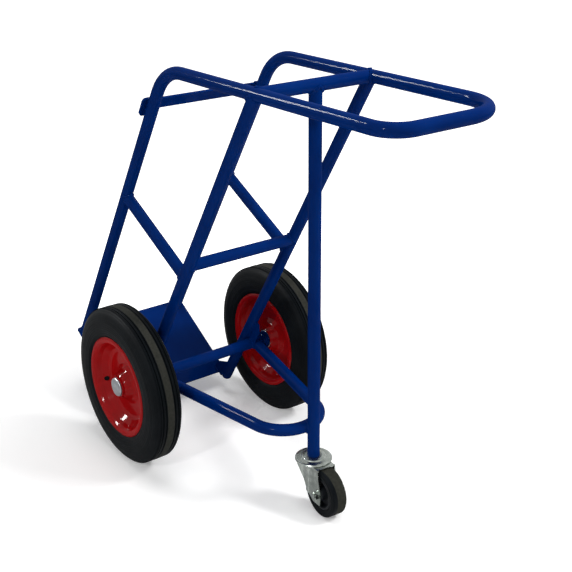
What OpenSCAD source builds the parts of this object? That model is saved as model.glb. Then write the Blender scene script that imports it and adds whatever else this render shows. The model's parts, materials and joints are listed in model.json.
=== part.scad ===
// Gas cylinder trolley: a welded round-tube frame on two large wheels and one trailing castor.
// Frame: +Z up, floor at z = 0, middle of the overall length at y = 0, toe plate at -Y, push handle at +Y.
// Left and right are those of the person who pushes it, so the left side is +X.

/* [Frame tube] */
// Outside diameter of the frame tube
tube_d = 25; // [24:0.5:27]
// Wall of the frame tube
tube_wall = 2; // [1.5:0.25:3]
// Depth that a welded tube is notched into the tube that it crosses
saddle = 0.8; // [0.5:0.1:1.5]

/* [Frame shape] */
// Distance between the two side frames, centre to centre
frame_w = 260; // [250:5:300]
// Square distance between the front and rear leg centre lines
leg_gap = 250; // [235:5:280]
// Backward tilt of the legs from upright, in degrees
leg_tilt = 31.7; // [30:0.1:33]
// Height of the handle's centre line over the floor
handle_h = 865; // [840:5:900]
// Distance from the axle back to the centre line of the handle's grip bar
handle_reach = 737; // [700:1:800]
// Bend radius where the front legs turn into the handle
top_bend_r = 105; // [95:5:130]
// Bend radius of the handle's left rear corner
left_bend_r = 46; // [42:2:70]
// Bend radius of the handle's right rear corner, which is drawn wider
right_bend_r = 96; // [70:2:100]

/* [Bracing] */
// Distance up the rear leg to the lower end of the cradle arm
arm_rear_s = 327; // [300:1:345]
// Distance up the front leg to the upper end of the cradle arm
arm_front_s = 309; // [290:1:345]
// Distance up the rear legs to the cradle cross tube
cross_h = 360; // [355:1:400]
// Half length of the axle tube
axle_tube_half = 163; // [160:1:168]
// Distance of the lower loop's left arm in from the axle tube's end
loop_left_inset = 31; // [26:1:34]
// Distance of its right arm in from the other end
loop_right_inset = 20; // [17:1:25]
// Inward slope of the left arm, in degrees
loop_left_taper = 8.6; // [8:0.2:10]
// Inward slope of the right arm, in degrees
loop_right_taper = 13.8; // [12:0.2:14]
// Depth that the loop's nose is notched around the post
loop_notch = 10; // [8:0.5:10.5]
// Thickness of the gusset plates over the axle
gusset_t = 5; // [4:0.5:6]

/* [Toe plate] */
// Thickness of the toe plate
plate_t = 5; // [4:0.5:8]
// Half width of the toe plate
plate_half_w = 147.5; // [143:0.5:148]
// Distance down the legs from the axle's level to the plate's upper face
plate_s = 168; // [150:1:168]
// Gap between the plate's rear edge and the rear legs
plate_rear_gap = 13.5; // [10:0.5:20]
// Distance down the rear legs to their capped feet
foot_s = 146; // [140:1:148]
// Thickness of the upright brackets between the plate and the rear legs
bracket_t = 5; // [4:0.5:6]

/* [Retaining bar] */
// Distance from the handle's corner down the front legs to the bar's centre line
bar_drop = 106; // [100:1:125]
// Height of the flat bar
bar_h = 25; // [20:1:30]
// Thickness of the flat bar
bar_t = 5; // [4:0.5:6]
// Thickness of the pivot plate and of the latch hook
lug_t = 5; // [4:0.5:6]
// Diameter of the pivot bolt
pivot_d = 10; // [8:1:12]
// Clearance between the bar and the plates beside it
bar_gap = 0.3; // [0.2:0.1:0.6]

/* [Main wheels] */
// Outside diameter of the tyres
wheel_d = 350; // [346:2:360]
// Width of the tyres
tyre_w = 73; // [70:1:78]
// Distance from the middle to each wheel's centre plane
wheel_x = 196; // [195:0.5:200]
// Radius of the rim's rolled lip
rim_r = 110; // [106:1:114]
// Half width of the rim over its lips
rim_half_w = 34.5; // [33:0.5:35]
// Thickness of the pressed rim sheet
rim_t = 2.5; // [2:0.25:3]
// Diameter of the axle rod
axle_d = 20; // [18:0.5:20]
// Outside diameter of the hub tube
hub_d = 46; // [45.5:0.5:52]
// Outside diameter of the ball bearings
bearing_d = 42; // [40:1:42]
// Width of each ball bearing
bearing_w = 12; // [10:1:14]
// Diameter of the pushed-on cap at each end of the axle
cap_d = 42; // [38:1:44]
// Radial running clearance of the axle in its bearings
axle_fit = 0.05; // [0.03:0.01:0.08]
// Axial gap at each end of a turning hub
hub_gap = 0.5; // [0.3:0.1:0.8]
// Width of the raised centre band of the tread
band_w = 19; // [16:1:22]
// Width of a tread groove
groove_w = 2.5; // [2:0.25:3]
// Depth of a tread groove
groove_depth = 3.5; // [2:0.5:5]

/* [Castor] */
// Diameter of the castor wheel
castor_d = 100; // [96:1:102]
// Width of the castor tyre
castor_w = 34; // [30:1:35]
// Height of the castor from the floor to its upper face
castor_h = 113; // [112:1:120]
// Trail of the castor wheel behind its swivel axis
castor_trail = 46; // [44:1:50]
// Swivel angle at which the castor stands, in degrees
castor_turn = 5; // [0:1:20]
// Diameter of the round top plate
castor_plate_d = 76; // [72:1:80]
// Diameter of the castor's fixing bolt
king_d = 12; // [10:1:12]
// Diameter of the castor's axle bolt
castor_axle_d = 10; // [8:1:10]
// Thickness of the pressed fork
fork_t = 2.5; // [2.5:0.25:3]
// Gap between the castor tyre and each fork leg
fork_gap = 2; // [2:0.25:3]

/* [Hidden] */
$fn = 48;
blue = [0.02, 0.18, 0.52];
red = [0.72, 0.06, 0.09];
black = [0.10, 0.11, 0.12];
steel = [0.72, 0.74, 0.76];
function tidy(v) = round(v * 100) / 100;
tube_r = tube_d / 2;
bore_r = tube_r - tube_wall;
side_x = frame_w / 2;
wheel_r = wheel_d / 2;
cut = 60;
seat = 0.3;
up = [0, sin(leg_tilt), cos(leg_tilt)];
front = [0, -cos(leg_tilt), sin(leg_tilt)];
root = 3;
lap = 0.1;
hair = 0.01;
plate_drop = plate_s + plate_t;
rear_leg_back = (tube_d - saddle) / cos(leg_tilt);
front_reach = rear_leg_back + plate_drop * sin(leg_tilt) + (leg_gap + tube_r) * cos(leg_tilt);
axle_y = tidy((front_reach - handle_reach - tube_r) / 2);
handle_y = axle_y + handle_reach;
rear_leg_y = axle_y - rear_leg_back;
leg_top_s = (handle_h - wheel_r) / cos(leg_tilt);
post_y = tidy(rear_leg_y + leg_top_s * sin(leg_tilt));
corner_s = (handle_h - wheel_r - leg_gap * sin(leg_tilt)) / cos(leg_tilt);
corner_y = rear_leg_y + corner_s * sin(leg_tilt) - leg_gap * cos(leg_tilt);
bar_s = tidy(corner_s - bar_drop);
top_bend_run = top_bend_r * tan((90 - leg_tilt) / 2);
bend_y = tidy(corner_y + top_bend_run);
bar_back = leg_gap + tube_r + lug_t - saddle + bar_gap;
bar_front = bar_back + bar_t;
collar_t = 8;
collar_d = 38;
hub_in = axle_tube_half + collar_t + hub_gap - wheel_x;
hub_out = rim_half_w - 5.5;
loop_y = tidy(post_y - tube_d + loop_notch);
castor_wheel_r = castor_d / 2;
crown_top = castor_h - 8;
crown_bottom = crown_top - fork_t;
fork_half = castor_w / 2 + fork_gap;
axle_span = fork_half + fork_t;

// A round bar between two points
module rod_between(a, b, r) {
    d = b - a;
    translate(a)
        rotate([0, acos(d.z / norm(d)), atan2(d.y, d.x)])
            cylinder(h = norm(d), r = r);
}

// Puts its children in a leg's own frame: z runs up the leg and -y is square to it, towards the front
module in_leg_frame(x = 0) {
    translate([x, rear_leg_y, wheel_r])
        rotate([-leg_tilt, 0, 0])
            children();
}

// A point in a side frame, s up the legs and off towards the front
function leg_point(x, s, off) = [x, rear_leg_y, wheel_r] + s * up + off * front;

function unit(v) = v / norm(v);
function wrap(a) = a > 180 ? a - 360 : a < -180 ? a + 360 : a;

// The arc that rounds corner b of the line a, b, c
function corner_arc(a, b, c, r, n) =
    let (u = unit(a - b), v = unit(c - b), half = acos(max(-1, min(1, u * v))) / 2)
    half > 89.5 ? [b] :
    let (t = min(r / tan(half), 0.48 * norm(a - b), 0.48 * norm(c - b)),
        mid = b + unit(u + v) * (t / cos(half)),
        p = b + u * t - mid, q = b + v * t - mid,
        from = atan2(p.y, p.x), turn = wrap(atan2(q.y, q.x) - from))
    [for (i = [0:n]) mid + norm(p) * [cos(from + turn * i / n), sin(from + turn * i / n)]];

// A line of points with every inner corner rounded
function rounded(pts, r, n = 4) = [
    pts[0],
    for (i = [1:len(pts) - 2]) each corner_arc(pts[i - 1], pts[i], pts[i + 1], r, n),
    pts[len(pts) - 1]];

// A closed outline with every corner rounded
function rounded_outline(pts, r, n = 4) = [
    for (i = [0:len(pts) - 1])
        each corner_arc(pts[(i + len(pts) - 1) % len(pts)], pts[i], pts[(i + 1) % len(pts)], r, n)];

// A line moved sideways by d, as one face of a sheet
function moved_line(pts, d) = [
    for (i = [0:len(pts) - 1])
        let (a = unit(pts[min(i + 1, len(pts) - 1)] - pts[max(i - 1, 0)]),
            b = unit(pts[max(i, 1)] - pts[max(i, 1) - 1]))
        pts[i] + d / max(0.5, abs(a * b)) * [-a.y, a.x]];

function reversed(pts) = [for (i = [len(pts) - 1:-1:0]) pts[i]];

// The section of a bent sheet of thickness t along a line
module sheet_section(pts, t) {
    polygon(concat(moved_line(pts, t / 2), reversed(moved_line(pts, -t / 2))));
}

// A hexagonal head of a bolt or nut, a little domed by its chamfer
module hex_head(across, h) {
    intersection() {
        cylinder(h = h, d = across / cos(30), $fn = 6);
        cylinder(h = h, r1 = across / 2 + h, r2 = across / 2 * 1.04, $fn = 48);
    }
}

// Frame

// The frame tube's round section, solid or with its bore
module tube_section(bore, thicker = 0) {
    difference() {
        circle(r = tube_r + thicker);
        if (bore > 0)
            circle(r = bore - thicker);
    }
}

// A bend of the tube about the Z axis, with a straight run before it and one after it. After a bend that
// isn't square, the run is a hair thicker and laps over the bend's end, so that one solid comes out
module tube_bend(bend_r, angle, before, after, bore) {
    square_bend = angle % 90 == 0;
    over = square_bend ? 0 : lap;
    rotate_extrude(angle = angle)
        translate([bend_r, 0])
            tube_section(bore);
    if (before > 0)
        translate([bend_r, -before, 0])
            rotate([-90, 0, 0])
                linear_extrude(before)
                    tube_section(bore);
    if (after > 0)
        rotate([0, 0, angle])
            translate([bend_r, -over, 0])
                rotate([-90, 0, 0])
                    linear_extrude(after + over)
                        tube_section(bore, square_bend ? 0 : hair);
}

function grip_bend_r(side) = side > 0 ? left_bend_r : right_bend_r;

// One tube bent into two front legs, the sides of the handle and its grip bar
module main_tube() {
    color(blue)
        difference() {
            for (side = [-1, 1]) {
                translate([side * side_x, bend_y, handle_h - top_bend_r])
                    rotate([90, 0, 90])
                        rotate([0, 0, 90])
                            tube_bend(top_bend_r, 90 - leg_tilt, handle_y - grip_bend_r(side) - bend_y,
                                plate_s + corner_s - top_bend_run, bore_r);
                translate([side * (side_x - grip_bend_r(side)), handle_y - grip_bend_r(side), handle_h])
                    rotate([0, 0, side > 0 ? 0 : 90])
                        tube_bend(grip_bend_r(side), 90, 0,
                            side > 0 ? frame_w - left_bend_r - right_bend_r : 0, bore_r);
            }
            pivot_hole();
        }
}

// Solid outlines that other tubes are notched around
module side_tube_solid(side) {
    translate([side * side_x, corner_y, handle_h])
        rotate([-90, 0, 0])
            cylinder(h = handle_y - corner_y, r = tube_r);
}

module top_cross_solid(r = tube_r) {
    translate([root - side_x, post_y, handle_h])
        rotate([0, 90, 0])
            cylinder(h = frame_w - 2 * root, r = r);
}

module rear_leg_solid(side, r = tube_r) {
    in_leg_frame(side * side_x)
        translate([0, 0, -foot_s])
            cylinder(h = foot_s + leg_top_s + tube_d, r = r);
}

module front_leg_solid(side) {
    in_leg_frame(side * side_x)
        translate([0, -leg_gap, -plate_s])
            cylinder(h = plate_s + corner_s, r = tube_r + 2 * hair);
}

module axle_tube_solid(r = tube_r) {
    translate([-axle_tube_half, axle_y, wheel_r])
        rotate([0, 90, 0])
            cylinder(h = 2 * axle_tube_half, r = r);
}

module post_solid(r = tube_r) {
    translate([0, post_y, castor_h])
        cylinder(h = handle_h - castor_h, r = r);
}

module above_handle() {
    translate([-frame_w, post_y - cut, handle_h - root])
        cube([2 * frame_w, 2 * cut, cut]);
}

module rear_leg(side) {
    color(blue)
        difference() {
            rear_leg_solid(side);
            in_leg_frame(side * side_x)
                translate([0, 0, -foot_s - 1])
                    cylinder(h = foot_s + leg_top_s + tube_d + 2, r = bore_r);
            side_tube_solid(side);
            top_cross_solid();
            above_handle();
        }
}

module rear_leg_left() { rear_leg(1); }
module rear_leg_right() { rear_leg(-1); }

// Domed cap that closes the foot of a rear leg: a spigot inside the tube under a rounded head
cap_dome = 9;
cap_spigot = 12;
module leg_cap(side) {
    spigot_r = bore_r - 0.1;
    profile = concat(
        [[0, cap_spigot], [spigot_r, cap_spigot], [spigot_r, 0], [tube_r, 0]],
        [for (a = [15:15:90]) [tube_r * cos(a), -cap_dome * sin(a)]]);
    color(blue)
        in_leg_frame(side * side_x)
            translate([0, 0, -foot_s])
                rotate_extrude()
                    polygon(profile);
}

module leg_cap_left() { leg_cap(1); }
module leg_cap_right() { leg_cap(-1); }

module top_cross_tube() {
    color(blue)
        difference() {
            top_cross_solid();
            translate([-side_x, post_y, handle_h])
                rotate([0, 90, 0])
                    cylinder(h = frame_w, r = bore_r);
            side_tube_solid(1);
            side_tube_solid(-1);
        }
}

module post_tube() {
    color(blue)
        difference() {
            post_solid();
            translate([0, post_y, castor_h - 1])
                cylinder(h = handle_h - castor_h + 2, r = bore_r);
            top_cross_solid();
            above_handle();
        }
}

module cradle_arm(side) {
    a = leg_point(side * side_x, arm_rear_s, 0);
    b = leg_point(side * side_x, arm_front_s, leg_gap);
    along = root * unit(b - a);
    color(blue)
        difference() {
            rod_between(a + along, b - along, tube_r);
            rod_between(a, b, bore_r);
            rear_leg_solid(side);
            front_leg_solid(side);
        }
}

module cradle_arm_left() { cradle_arm(1); }
module cradle_arm_right() { cradle_arm(-1); }

module cradle_cross_tube() {
    a = leg_point(-side_x, cross_h, 0);
    b = leg_point(side_x, cross_h, 0);
    color(blue)
        difference() {
            rod_between(a + [root, 0, 0], b - [root, 0, 0], tube_r);
            rod_between(a, b, bore_r);
            rear_leg_solid(1);
            rear_leg_solid(-1);
        }
}

// Tube that carries the axle rod behind the rear legs
module axle_tube() {
    color(blue)
        difference() {
            axle_tube_solid();
            translate([-axle_tube_half - 1, axle_y, wheel_r])
                rotate([0, 90, 0])
                    cylinder(h = 2 * axle_tube_half + 2, r = bore_r);
            rear_leg_solid(1);
            rear_leg_solid(-1);
        }
}

// Lower loop: two tapering arms and a round nose, level with the axle, all bent from one tube
function loop_inset(side) = side > 0 ? loop_left_inset : loop_right_inset;
function loop_taper(side) = side > 0 ? loop_left_taper : loop_right_taper;
function loop_turn(side) = tan((90 - loop_taper(side)) / 2);
function loop_corner(side) =
    axle_tube_half - loop_inset(side) - (loop_y - axle_y) * tan(loop_taper(side));
function loop_arm(side) =
    (loop_y - axle_y - root - loop_bend_r * (1 - sin(loop_taper(side)))) / cos(loop_taper(side));
loop_bend_r = tidy((loop_corner(1) + loop_corner(-1)) / (loop_turn(1) + loop_turn(-1)));
loop_nose_x = tidy(loop_corner(1) - loop_bend_r * loop_turn(1));
module loop_path(bore) {
    translate([loop_nose_x, loop_y - loop_bend_r, wheel_r])
        rotate([0, 0, loop_taper(1)])
            tube_bend(loop_bend_r, 180 - loop_taper(1) - loop_taper(-1), loop_arm(1), loop_arm(-1), bore);
}

module loop_tube() {
    color(blue)
        difference() {
            loop_path(bore_r);
            axle_tube_solid();
            post_solid();
        }
}

// Toe plate, square to the legs, on which the front legs stand
plate_back = tube_r + plate_rear_gap;
plate_front = leg_gap + tube_r;
module toe_plate() {
    outline = rounded_outline([
        [-plate_half_w, -plate_back], [plate_half_w, -plate_back],
        [plate_half_w, -plate_front], [-plate_half_w, -plate_front]], 4);
    color(blue)
        in_leg_frame()
            translate([0, 0, -plate_s - plate_t])
                linear_extrude(plate_t)
                    polygon(outline);
}

// Upright bracket that joins the toe plate's rear edge to the front of a rear leg
bracket_reach = 45;
bracket_h = 58;
module plate_bracket(side) {
    y = 0.5 - tube_r;
    outline = rounded_outline([
        [y, -plate_s], [y, bracket_h - plate_s], [4 - bracket_reach, bracket_h * 0.43 - plate_s],
        [-bracket_reach, -plate_s]], 3);
    color(blue)
        difference() {
            in_leg_frame(side * side_x)
                translate([-bracket_t / 2, 0, 0])
                    rotate([90, 0, 90])
                        linear_extrude(bracket_t)
                            intersection() {
                                polygon(outline);
                                translate([-cut, -plate_s])
                                    square(2 * cut);
                            }
            rear_leg_solid(side);
        }
}

module plate_bracket_left() { plate_bracket(1); }
module plate_bracket_right() { plate_bracket(-1); }

// Gusset in the corner between a rear leg and the axle tube
gusset_depth = 24;
gusset_h = 82;
gusset_foot = 16;
module gusset(side) {
    depth = tube_r + gusset_depth;
    outline = rounded_outline([
        [0, gusset_foot], [depth, gusset_foot], [depth - 1.5, gusset_h * 0.76],
        [tube_r + gusset_depth * 0.4, gusset_h], [0, gusset_h + 2]], 5);
    color(blue)
        difference() {
            in_leg_frame(side * side_x)
                translate([-gusset_t / 2, 0, 0])
                    rotate([90, 0, 90])
                        linear_extrude(gusset_t)
                            polygon(outline);
            rear_leg_solid(side);
            axle_tube_solid();
            loop_path(0);
        }
}

module gusset_left() { gusset(1); }
module gusset_right() { gusset(-1); }

// Collar welded on the end of the axle tube, where the hub stops
module collar(side) {
    bore = axle_d / 2 + 0.1;
    profile = rounded_outline(
        [[bore, 0], [collar_d / 2, 0], [collar_d / 2, collar_t], [bore, collar_t]], 0.8, 2);
    color(blue)
        translate([side * axle_tube_half, axle_y, wheel_r])
            rotate([0, side * 90, 0])
                rotate_extrude()
                    polygon(profile);
}

module collar_left() { collar(1); }
module collar_right() { collar(-1); }

// Axle rod through the axle tube and both hubs
axle_half = wheel_x + hub_out + hub_gap + 2;
module axle_rod() {
    color(steel)
        translate([-axle_half, axle_y, wheel_r])
            rotate([0, 90, 0])
                cylinder(h = 2 * axle_half, d = axle_d);
}

// Cap pushed on the end of the axle: a cup with a rolled edge and a plain face
cap_h = 4.5;
module axle_cap(side) {
    profile = rounded([
        [0, cap_h], [cap_d / 2 - 4, cap_h], [cap_d / 2 - 0.5, cap_h - 1.5], [cap_d / 2, 0.5],
        [cap_d / 2 - 1, 0]], 2, 3);
    bore = axle_d / 2 + 0.05;
    color(steel)
        translate([side * (wheel_x + hub_out + hub_gap), axle_y, wheel_r])
            rotate([0, side * 90, 0])
                rotate_extrude()
                    polygon(concat(profile, [[bore, 0], [bore, 2.1], [0, 2.1]]));
}

module axle_cap_left() { axle_cap(1); }
module axle_cap_right() { axle_cap(-1); }

// Retaining bar across the front legs

lug_back = leg_gap + tube_r - saddle;
lug_front = lug_back + lug_t;
lug_half_h = 22;
lug_half_w = 18.5;
pivot_len = bar_front + bar_gap - leg_gap;
module pivot_hole() {
    in_leg_frame(side_x)
        translate([0, -leg_gap, bar_s])
            rotate([90, 0, 0])
                cylinder(h = lug_front - leg_gap, d = pivot_d + 0.1);
}

module pivot_plate() {
    outline = rounded_outline([
        [-lug_half_w, -lug_half_h], [lug_half_w, -lug_half_h],
        [lug_half_w, lug_half_h], [-lug_half_w, lug_half_h]], 8);
    color(blue)
        difference() {
            in_leg_frame(side_x)
                translate([0, -lug_back, bar_s])
                    rotate([90, 0, 0])
                        linear_extrude(lug_t)
                            polygon(outline);
            front_leg_solid(1);
            pivot_hole();
        }
}

module pivot_bolt() {
    color(steel)
        in_leg_frame(side_x)
            translate([0, -leg_gap, bar_s])
                rotate([90, 0, 0]) {
                    translate([0, 0, 2])
                        cylinder(h = pivot_len - 2, d = pivot_d);
                    translate([0, 0, pivot_len]) {
                        cylinder(h = 1.6, d = 2 * pivot_d);
                        translate([0, 0, 1.6])
                            hex_head(pivot_d * 1.6, pivot_d * 0.64);
                    }
                }
}

// Flat bar with round ends, drilled for the pivot bolt
bar_far = tube_r - 1;
module retaining_bar() {
    color(blue)
        in_leg_frame()
            translate([0, -bar_back, bar_s])
                rotate([90, 0, 0])
                    linear_extrude(bar_t)
                        difference() {
                            union() {
                                translate([side_x, 0])
                                    circle(d = bar_h);
                                translate([-side_x - bar_far, -bar_h / 2])
                                    square([frame_w + bar_far, bar_h]);
                            }
                            translate([side_x, 0])
                                circle(d = pivot_d + 0.1);
                        }
}

// Hook on the right front leg that the bar drops into
hook_w = 20;
hook_lip = 16;
module latch_hook() {
    shelf = bar_s - bar_h / 2 - seat;
    lip_back = bar_front + 1;
    section = [
        [lug_back, shelf - lug_t], [lip_back + lug_t, shelf - lug_t], [lip_back + lug_t, shelf + hook_lip],
        [lip_back, shelf + hook_lip], [lip_back, shelf], [lug_front, shelf],
        [lug_front, bar_s + bar_h / 2 + 8], [lug_back, bar_s + bar_h / 2 + 8]];
    color(blue)
        difference() {
            in_leg_frame(-side_x)
                translate([-hook_w / 2, 0, 0])
                    rotate([90, 0, 90])
                        linear_extrude(hook_w)
                            polygon([for (p = section) [-p.x, p.y]]);
            front_leg_solid(-1);
        }
}

// Main wheels

// Line of the pressed rim in [axial, radius], from its rolled lip to the hub
rim_disc = rim_t / 2 + 0.1;
rim_line = rounded([
    [rim_half_w - 3.5, rim_r + 1.5], [rim_half_w - rim_t / 2, rim_r - 1.5], [rim_half_w - 2, rim_r - 9],
    [rim_half_w - 8, rim_r - 13], [rim_half_w - 17, rim_r - 17], [rim_disc + 3, rim_r - 27],
    [rim_disc, rim_r - 36], [rim_disc, hub_d / 2 + 22], [rim_disc + 7, hub_d / 2 + 11],
    [rim_disc + 19, hub_d / 2 + 4], [rim_disc + 23, hub_d / 2 + rim_t / 2 + 0.1]], 9, 5);

function swapped(pts) = [for (p = pts) [p.y, p.x]];

// Places a wheel profile of [radius, axial] on side +1 or -1, its outer face outwards when flip is 1
module wheel_place(side, flip = 1) {
    translate([side * wheel_x, axle_y, wheel_r])
        rotate([0, side * flip * 90, 0])
            children();
}

valve_angle = 193;
valve_d = 11;
module rim_half(side, flip) {
    color(red)
        difference() {
            wheel_place(side, flip)
                rotate_extrude($fn = 96)
                    polygon(swapped(concat(moved_line(rim_line, rim_t / 2),
                        reversed(moved_line(rim_line, -rim_t / 2)))));
            if (flip > 0)
                translate([side * (wheel_x + 10), axle_y, wheel_r])
                    rotate([valve_angle, 0, 0])
                        translate([0, rim_r - 40, 0])
                            rotate([-90, 0, 0])
                                cylinder(h = 60, d = valve_d);
        }
}

module rim_outer_left() { rim_half(1, 1); }
module rim_inner_left() { rim_half(1, -1); }
module rim_outer_right() { rim_half(-1, 1); }
module rim_inner_right() { rim_half(-1, -1); }

// Solid rubber tyre: flat tread with a raised band between grooves, round shoulders and a bead in the rim
tyre_gap = 0.3;
bead_line = [for (p = moved_line(rim_line, -rim_t / 2 - tyre_gap)) if (p.y > rim_r - 26 && p.x > 3) p];
tread_groove = [band_w / 2, band_w / 2 + groove_w + 5];
module tyre(side) {
    h = tyre_w / 2;
    r = wheel_r;
    shoulder = rounded([
        [rim_half_w - 2.5, rim_r + 4], [h - 1.5, rim_r + 9], [h, rim_r + 22], [h - 0.6, r - 27],
        [h - 3.5, r - 16], [h - 5.5, r - 11], [h - 11, r - 3.2], [h - 19, r - 0.8],
        [tread_groove[1] + groove_w + 3, r - 0.5]], 6, 3);
    groove = [for (x = reversed(tread_groove))
        each [[x + groove_w, r - 0.4], [x + groove_w * 0.8, r - groove_depth],
            [x + groove_w * 0.2, r - groove_depth], [x, r - 0.3]]];
    half = concat(bead_line_from_middle(), shoulder, groove, [[0, r]]);
    color(black)
        wheel_place(side)
            rotate_extrude($fn = 128)
                polygon(swapped(concat(half, reversed([for (p = half) if (p.x > 0.01) [-p.x, p.y]]))));
}

// The tyre's inner line, from the deepest point of the rim's channel out to the lip
function bead_line_from_middle() =
    let (pts = reversed(bead_line))
    pts;

module tyre_left() { tyre(1); }
module tyre_right() { tyre(-1); }

// Hub tube, bored for the bearings
module hub_tube(side) {
    bore = bearing_d / 2 + 0.05;
    color(red)
        wheel_place(side)
            rotate_extrude($fn = 64)
                polygon([
                    [bore, hub_in], [hub_d / 2 - 1, hub_in], [hub_d / 2, hub_in + 1],
                    [hub_d / 2, hub_out - 1], [hub_d / 2 - 1, hub_out], [bore, hub_out],
                    [bore, hub_out - bearing_w - 0.2], [bore - 2, hub_out - bearing_w - 1.2],
                    [bore - 2, hub_in + bearing_w + 1.2], [bore, hub_in + bearing_w + 0.2]]);
}

module hub_tube_left() { hub_tube(1); }
module hub_tube_right() { hub_tube(-1); }

// Two sealed ball bearings pressed into a hub tube
module bearings(side) {
    color(steel)
        for (x = [hub_in + 0.1, hub_out - bearing_w - 0.1])
            wheel_place(side)
                translate([0, 0, x])
                    rotate_extrude($fn = 64)
                        polygon(rounded_outline([
                            [axle_d / 2 + axle_fit, 0], [bearing_d / 2, 0],
                            [bearing_d / 2, bearing_w], [axle_d / 2 + axle_fit, bearing_w]], 0.8, 2));
}

module bearings_left() { bearings(1); }
module bearings_right() { bearings(-1); }

// Castor

// Puts its children over the castor's swivel axis, turned to its resting angle
module at_castor() {
    translate([0, post_y, 0])
        rotate([0, 0, -castor_turn])
            children();
}

// Threaded insert welded in the foot of the post
insert_h = 30;
module post_insert() {
    color(steel)
        at_castor()
            translate([0, 0, castor_h])
                difference() {
                    cylinder(h = insert_h, r = bore_r - 0.1);
                    translate([0, 0, -1])
                        cylinder(h = insert_h + 2, d = king_d + 0.2);
                }
}

// Pressed round top plate with a stepped ring, held still under the post
plate_sheet = 2.5;
module castor_plate() {
    r = castor_plate_d / 2;
    skirt = r - plate_sheet / 2;
    top = castor_h - plate_sheet / 2;
    line = rounded([
        [skirt, crown_top + 0.6], [skirt, crown_top + 2.4], [skirt - 3, crown_top + 3.3],
        [r - 13, crown_top + 3.8], [r - 15, top - 0.8], [tube_r + 5, top], [king_d / 2 + 0.2, top]], 1.5, 3);
    color(steel)
        at_castor()
            rotate_extrude($fn = 64)
                sheet_section(line, plate_sheet);
}

// Fixing bolt up through the castor into the post, with its head and washer under the fork's crown
module castor_king_bolt() {
    color(steel)
        at_castor() {
            translate([0, 0, crown_bottom - 2.2])
                cylinder(h = castor_h + insert_h - 6 - crown_bottom, d = king_d);
            translate([0, 0, crown_bottom - 2.2])
                cylinder(h = 2, d = king_d * 2);
            translate([0, 0, crown_bottom - 2.2 - king_d * 0.6])
                hex_head(king_d * 1.5, king_d * 0.6);
        }
}

// Ring of bearing balls between the top plate and the fork's crown
ball_d = 4;
ball_ring_r = 21;
ball_count = 20;
module castor_balls() {
    color(steel)
        at_castor()
            for (i = [0:ball_count - 1])
                rotate([0, 0, i * 360 / ball_count])
                    translate([ball_ring_r, 0, crown_top + ball_d / 2 + 0.1])
                        sphere(d = ball_d, $fn = 16);
}

// Pressed trailing fork: a round crown with a curved apron in front, running into two ribbed legs
crown_r = 34;
rib_h = 2;
rib_from = 6;
rib_w = 10;
leg_line = fork_half + fork_t / 2;
apron_line = crown_r - fork_t / 2;
apron_half = 52;
fork_sheet_half = [
    [leg_line, 60], [leg_line, rib_from + rib_w], [leg_line + rib_h, rib_from + rib_w - 2],
    [leg_line + rib_h, rib_from + 2], [leg_line, rib_from], [leg_line, -4],
    for (a = [apron_half:-13:13]) apron_line * [sin(a), -cos(a)]];
fork_sheet = rounded(concat(fork_sheet_half, [[0, -apron_line]],
    reversed([for (p = fork_sheet_half) [-p.x, p.y]])), 3, 3);
fork_side = rounded_outline([
    [-crown_r - 1, crown_top], [-crown_r - 1, crown_top - 6], [-19, crown_top - 16],
    [7, castor_wheel_r - 7], [castor_trail - 15, castor_wheel_r - 23],
    [castor_trail + 9, castor_wheel_r - 23], [castor_trail + 11, castor_wheel_r],
    [castor_trail + 3, castor_wheel_r + 30], [castor_trail, crown_top]], 4);

module castor_fork() {
    color(steel)
        at_castor()
            difference() {
                union() {
                    translate([0, 0, crown_bottom]) {
                        cylinder(h = fork_t, r = crown_r, $fn = 64);
                        translate([-axle_span, 0, 0])
                            cube([2 * axle_span, castor_trail - 1, fork_t]);
                    }
                    intersection() {
                        linear_extrude(crown_bottom + 1)
                            sheet_section(fork_sheet, fork_t);
                        translate([-cut, 0, 0])
                            rotate([90, 0, 90])
                                linear_extrude(2 * cut)
                                    polygon(fork_side);
                    }
                }
                translate([0, 0, crown_bottom - 20])
                    cylinder(h = 40, d = king_d + 0.1);
                translate([-cut, castor_trail, castor_wheel_r])
                    rotate([0, 90, 0])
                        cylinder(h = 2 * cut, d = castor_axle_d + 0.1);
            }
}

module at_castor_axle(x) {
    at_castor()
        translate([x, castor_trail, castor_wheel_r])
            rotate([0, 90, 0])
                children();
}

module castor_axle_bolt() {
    color(steel)
        at_castor_axle(-axle_span) {
            cylinder(h = 2 * axle_span + 11, d = castor_axle_d);
            rotate([180, 0, 0])
                hex_head(castor_axle_d * 1.6, castor_axle_d * 0.6);
        }
}

// Lock nut and washer on the left end of the castor's axle bolt
module castor_axle_nut() {
    color(steel)
        at_castor_axle(axle_span)
            difference() {
                union() {
                    cylinder(h = 1.5, d = castor_axle_d * 1.9);
                    translate([0, 0, 1.5])
                        hex_head(castor_axle_d * 1.6, castor_axle_d * 0.75);
                }
                translate([0, 0, -1])
                    cylinder(h = 20, d = castor_axle_d + 0.1);
            }
}

// Spacer sleeve clamped between the fork's legs, on which the castor wheel turns
sleeve_d = 15;
sleeve_fit = 0.05;
module castor_sleeve() {
    color(steel)
        at_castor_axle(-fork_half)
            difference() {
                cylinder(h = 2 * fork_half, d = sleeve_d);
                translate([0, 0, -1])
                    cylinder(h = 2 * fork_half + 2, d = castor_axle_d + 0.1);
            }
}

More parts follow.
